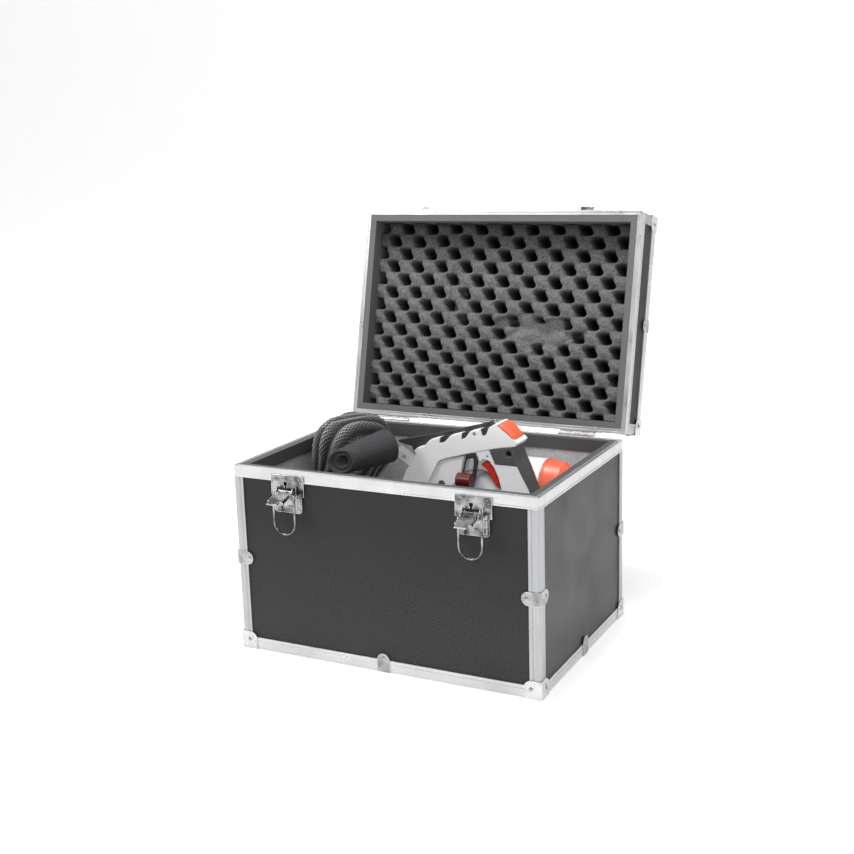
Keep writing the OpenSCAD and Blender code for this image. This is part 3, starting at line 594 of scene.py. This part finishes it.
def pleated(name, shrink, pleats, seed, amp):
    """A piece of net, drawn together at two ends, with pleats between them. Also its area and length."""
    draw = random.Random(seed)
    phase = [draw.uniform(0, 6.28) for _ in range(6)]
    nu, nw = 360, 84
    lon, col = np.meshgrid(
        np.linspace(-0.62, math.pi + 0.62, nu), np.linspace(0.14, 2.9, nw), indexing="ij"
    )
    swirl = lon + 0.22 * np.sin(1.5 * col + phase[0]) + 0.05 * np.sin(3 * col + 2 * lon + phase[1])
    round_pole = np.cos(swirl)[..., None] * SIDE + np.sin(swirl)[..., None] * OVER
    way = np.cos(col)[..., None] * POLE + np.sin(col)[..., None] * round_pole
    radius = (np.abs(way / BAG_HALF) ** BAG_SQUARENESS).sum(-1) ** (-1 / BAG_SQUARENESS) * shrink
    fold = pleats * lon + 0.9 * np.sin(2 * col + phase[2]) + 0.7 * np.sin(2 * lon + phase[3])
    crest = 2 / math.pi * np.arcsin(np.sin(fold) * 0.96)
    size = amp * (0.6 + 0.4 * np.sin(2.3 * lon + phase[4])) * np.sin(np.clip(col, 0, math.pi)) ** 0.6
    sag = 2.0 * np.sin(3 * way[..., 0] * 2 + phase[5]) * np.sin(4 * way[..., 1] + phase[1])
    p = BAG_MIDDLE + way * (radius + size * crest + sag - amp)[..., None]
    p[..., 2] = np.where(p[..., 2] < 192, 181 + (p[..., 2] - 140) * 11 / 52, p[..., 2])  # rests on the bed
    p = np.clip(p, BAG_LOW, BAG_HIGH)
    across = np.linalg.norm(np.diff(p, axis=0), axis=2).mean(1)
    along = np.linalg.norm(np.diff(p, axis=1), axis=2).mean(0)
    u, v = (np.concatenate([[0], np.cumsum(step)]) * MM for step in (across, along))
    uv = np.stack(np.meshgrid(u, v, indexing="ij"), -1).reshape(-1, 2)
    ob = make(name, p.reshape(-1, 3) * MM, grid_faces(nu, nw), NET_CORD, uv=uv)
    # painted light of the pleats: 1 on their crests, 0 in their folds
    point_values(ob, "ridge_light", 0.5 + 0.5 * crest)
    return ob, sum(face.area for face in ob.data.polygons), float(v[-1])


def mesh_bag():
    layers = (
        ("net_outer", 1.08, 21, 3, 6.2),
        ("net_inner", 0.92, 16, 8, 5.0),
        ("net_core", 0.8, 12, 15, 4.0),
    )
    for name, shrink, pleats, seed, amp in layers:
        ob, total, arc = pleated(name, shrink, pleats, seed, amp)
        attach(ob, "case")
        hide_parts("mesh_bag")


mesh_bag()


# ---------------------------------------------------------------- copies of CAD pieces
def copy_of(node, ending):
    """A visible copy of a CAD piece, to be given a finer shape or to ride with a body."""
    ob = bpy.data.objects.new(node + ending, frame["nodes"][node].data.copy())
    scene.collection.objects.link(ob)
    return ob


def remeshed(ob, voxel):
    """Even out the object's mesh with a voxel remesh and return its new mesh."""
    mod = ob.modifiers.new("remesh", "REMESH")
    mod.mode, mod.voxel_size = "VOXEL", voxel * MM
    bpy.context.view_layer.update()
    mesh = bpy.data.meshes.new_from_object(ob.evaluated_get(bpy.context.evaluated_depsgraph_get()))
    ob.modifiers.clear()
    ob.data = mesh
    return mesh


def rounded(node, slot_name, edge, radius, voxel=1.0):
    """A copy of a moulded piece of the tool, rolled over towards an edge given as (x, z) points."""
    ob = copy_of(node, "_soft")
    mesh = remeshed(ob, voxel)
    co = np.array([v.co for v in mesh.vertices]) / MM
    middle, half = (co[:, 1].min() + co[:, 1].max()) / 2, (co[:, 1].max() - co[:, 1].min()) / 2
    to_edge = np.full(len(co), 1e9)
    for start, end in zip(edge, edge[1:]):
        segment = np.array(end, float) - start
        q = co[:, [0, 2]] - start
        t = np.clip(q @ segment / (segment @ segment), 0, 1)
        to_edge = np.minimum(to_edge, np.hypot(*(q - t[:, None] * segment).T))
    inside = np.clip(radius - to_edge, 0, radius)
    limit = half - radius + np.sqrt(np.clip(radius**2 - inside**2, 0, None))
    co[:, 1] = middle + np.clip(co[:, 1] - middle, -limit, limit)
    mesh.vertices.foreach_set("co", (co * MM).ravel())
    mesh.materials.clear()
    mesh.materials.append(MATERIALS[slot_name].m)
    for face in mesh.polygons:
        face.use_smooth = True
    smoothing = ob.modifiers.new("smooth", "SMOOTH")
    smoothing.iterations, smoothing.factor = 4, 0.5
    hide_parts(node)
    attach(ob, "gun")


GRIP_EDGE = [(130.5, 290.5), (136, 273.5), (142.5, 259.6), (153, 232.3), (162, 210)]
PAD_EDGE = [(106.6, 320.4), (110, 320.4), (116, 317.4), (122, 312), (127, 306), (130, 301)]
rounded("grip_rubber", "grip_grey", GRIP_EDGE, 9)
rounded("end_pad", "pad_orange", PAD_EDGE, 6, 0.7)


def coil_spring(node, axis):
    """A copy of a spring of the tool, riding with the tool."""
    ob = copy_of(node, "_coil")
    axis = np.array(axis) / np.linalg.norm(axis)
    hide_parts(node)
    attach(ob, "gun")
    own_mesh(ob)


coil_spring("pusher_spring", (math.cos(MAGAZINE_TILT), 0, math.sin(MAGAZINE_TILT)))
coil_spring("probe_spring", (1, 0, 0))


# ---------------------------------------------------------------- camera
def aim(azimuth, elevation, roll):
    """Rotation of a camera that looks from this direction, in degrees, and is rolled about its view."""
    a, e, r = (math.radians(v) for v in (azimuth, elevation, roll))
    back = Vector((math.sin(a) * math.cos(e), -math.cos(a) * math.cos(e), math.sin(e)))
    right = Vector((0, 0, 1)).cross(back).normalized()
    up = back.cross(right)
    rolled_right = right * math.cos(r) + up * math.sin(r)
    rolled_up = up * math.cos(r) - right * math.sin(r)
    return Matrix((rolled_right, rolled_up, back)).transposed().to_4x4()


cam = bpy.data.objects.new("camera", bpy.data.cameras.new("camera"))
scene.collection.objects.link(cam)
cam.data.lens, cam.data.sensor_width = 53.72, 36
cam.matrix_world = Matrix.Translation((0.8014, -1.5716, 0.7144)) @ aim(27.228, 12.983, -1.742)
scene.camera = cam


# ---------------------------------------------------------------- light
def studio_world(strength):
    """Sky that is grey at the horizon and below it, and white overhead."""
    world = bpy.data.worlds.new("studio")
    scene.world = world
    world.use_nodes = True
    nodes, links = world.node_tree.nodes, world.node_tree.links
    way = nodes.new("ShaderNodeTexCoord")
    split = nodes.new("ShaderNodeSeparateXYZ")
    ramp = nodes.new("ShaderNodeValToRGB")
    horizon, zenith = ramp.color_ramp.elements
    horizon.position, horizon.color = 0.0, (0.30, 0.30, 0.30, 1)
    zenith.position, zenith.color = 0.55, (1, 1, 1, 1)
    background = nodes["Background"]
    background.inputs[1].default_value = strength
    links.new(way.outputs["Generated"], split.inputs[0])
    links.new(split.outputs[2], ramp.inputs[0])
    links.new(ramp.outputs[0], background.inputs[0])


def area(name, loc, size, power):
    """A square lamp at loc, aimed at a point 0.25 m above the middle of the case's footprint."""
    lamp = bpy.data.lights.new(name, "AREA")
    lamp.size, lamp.energy = size, power
    ob = bpy.data.objects.new(name, lamp)
    ob.location = loc
    ob.rotation_euler = (Vector((0, 0, 0.25)) - Vector(loc)).to_track_quat("-Z", "Y").to_euler()
    scene.collection.objects.link(ob)


studio_world(0.62)
area("key", (-1.5, -1.7, 1.9), 0.8, 24)
area("front", (0.9, -2.3, 1.5), 0.7, 13)
area("fill", (2.4, -0.9, 0.9), 1.2, 3)
area("top", (-0.1, -0.1, 2.6), 0.6, 46)


# ---------------------------------------------------------------- floor
def paper_sweep():
    """One sweep of pale paper, in metres: a flat floor that curves up far behind the object."""
    half_width, front, bend_y, bend_r, top = 9.0, -6.0, 3.0, 2.0, 7.0
    angles = np.linspace(0.05, math.pi / 2, 24)
    bend = [(bend_y + bend_r * math.sin(a), bend_r - bend_r * math.cos(a)) for a in angles]
    path = [(front, 0.0), (bend_y, 0.0)] + bend + [(bend_y + bend_r, top)]
    points = [(x, y, z) for x in (-half_width, half_width) for y, z in path]
    count = len(path)
    paper = Mat("paper_pale", (0.93, 0.93, 0.93), 0.9)
    paper.rough(paper.noise(3, 2), 0.85, 0.95)
    paper.b.inputs["Emission Color"].default_value = (1, 1, 1, 1)
    paper.b.inputs["Emission Strength"].default_value = 0.35
    faces = [(k, k + 1, count + k + 1, count + k) for k in range(count - 1)]
    make("floor", points, faces, paper.m)


paper_sweep()
scene.view_settings.view_transform = "Standard"
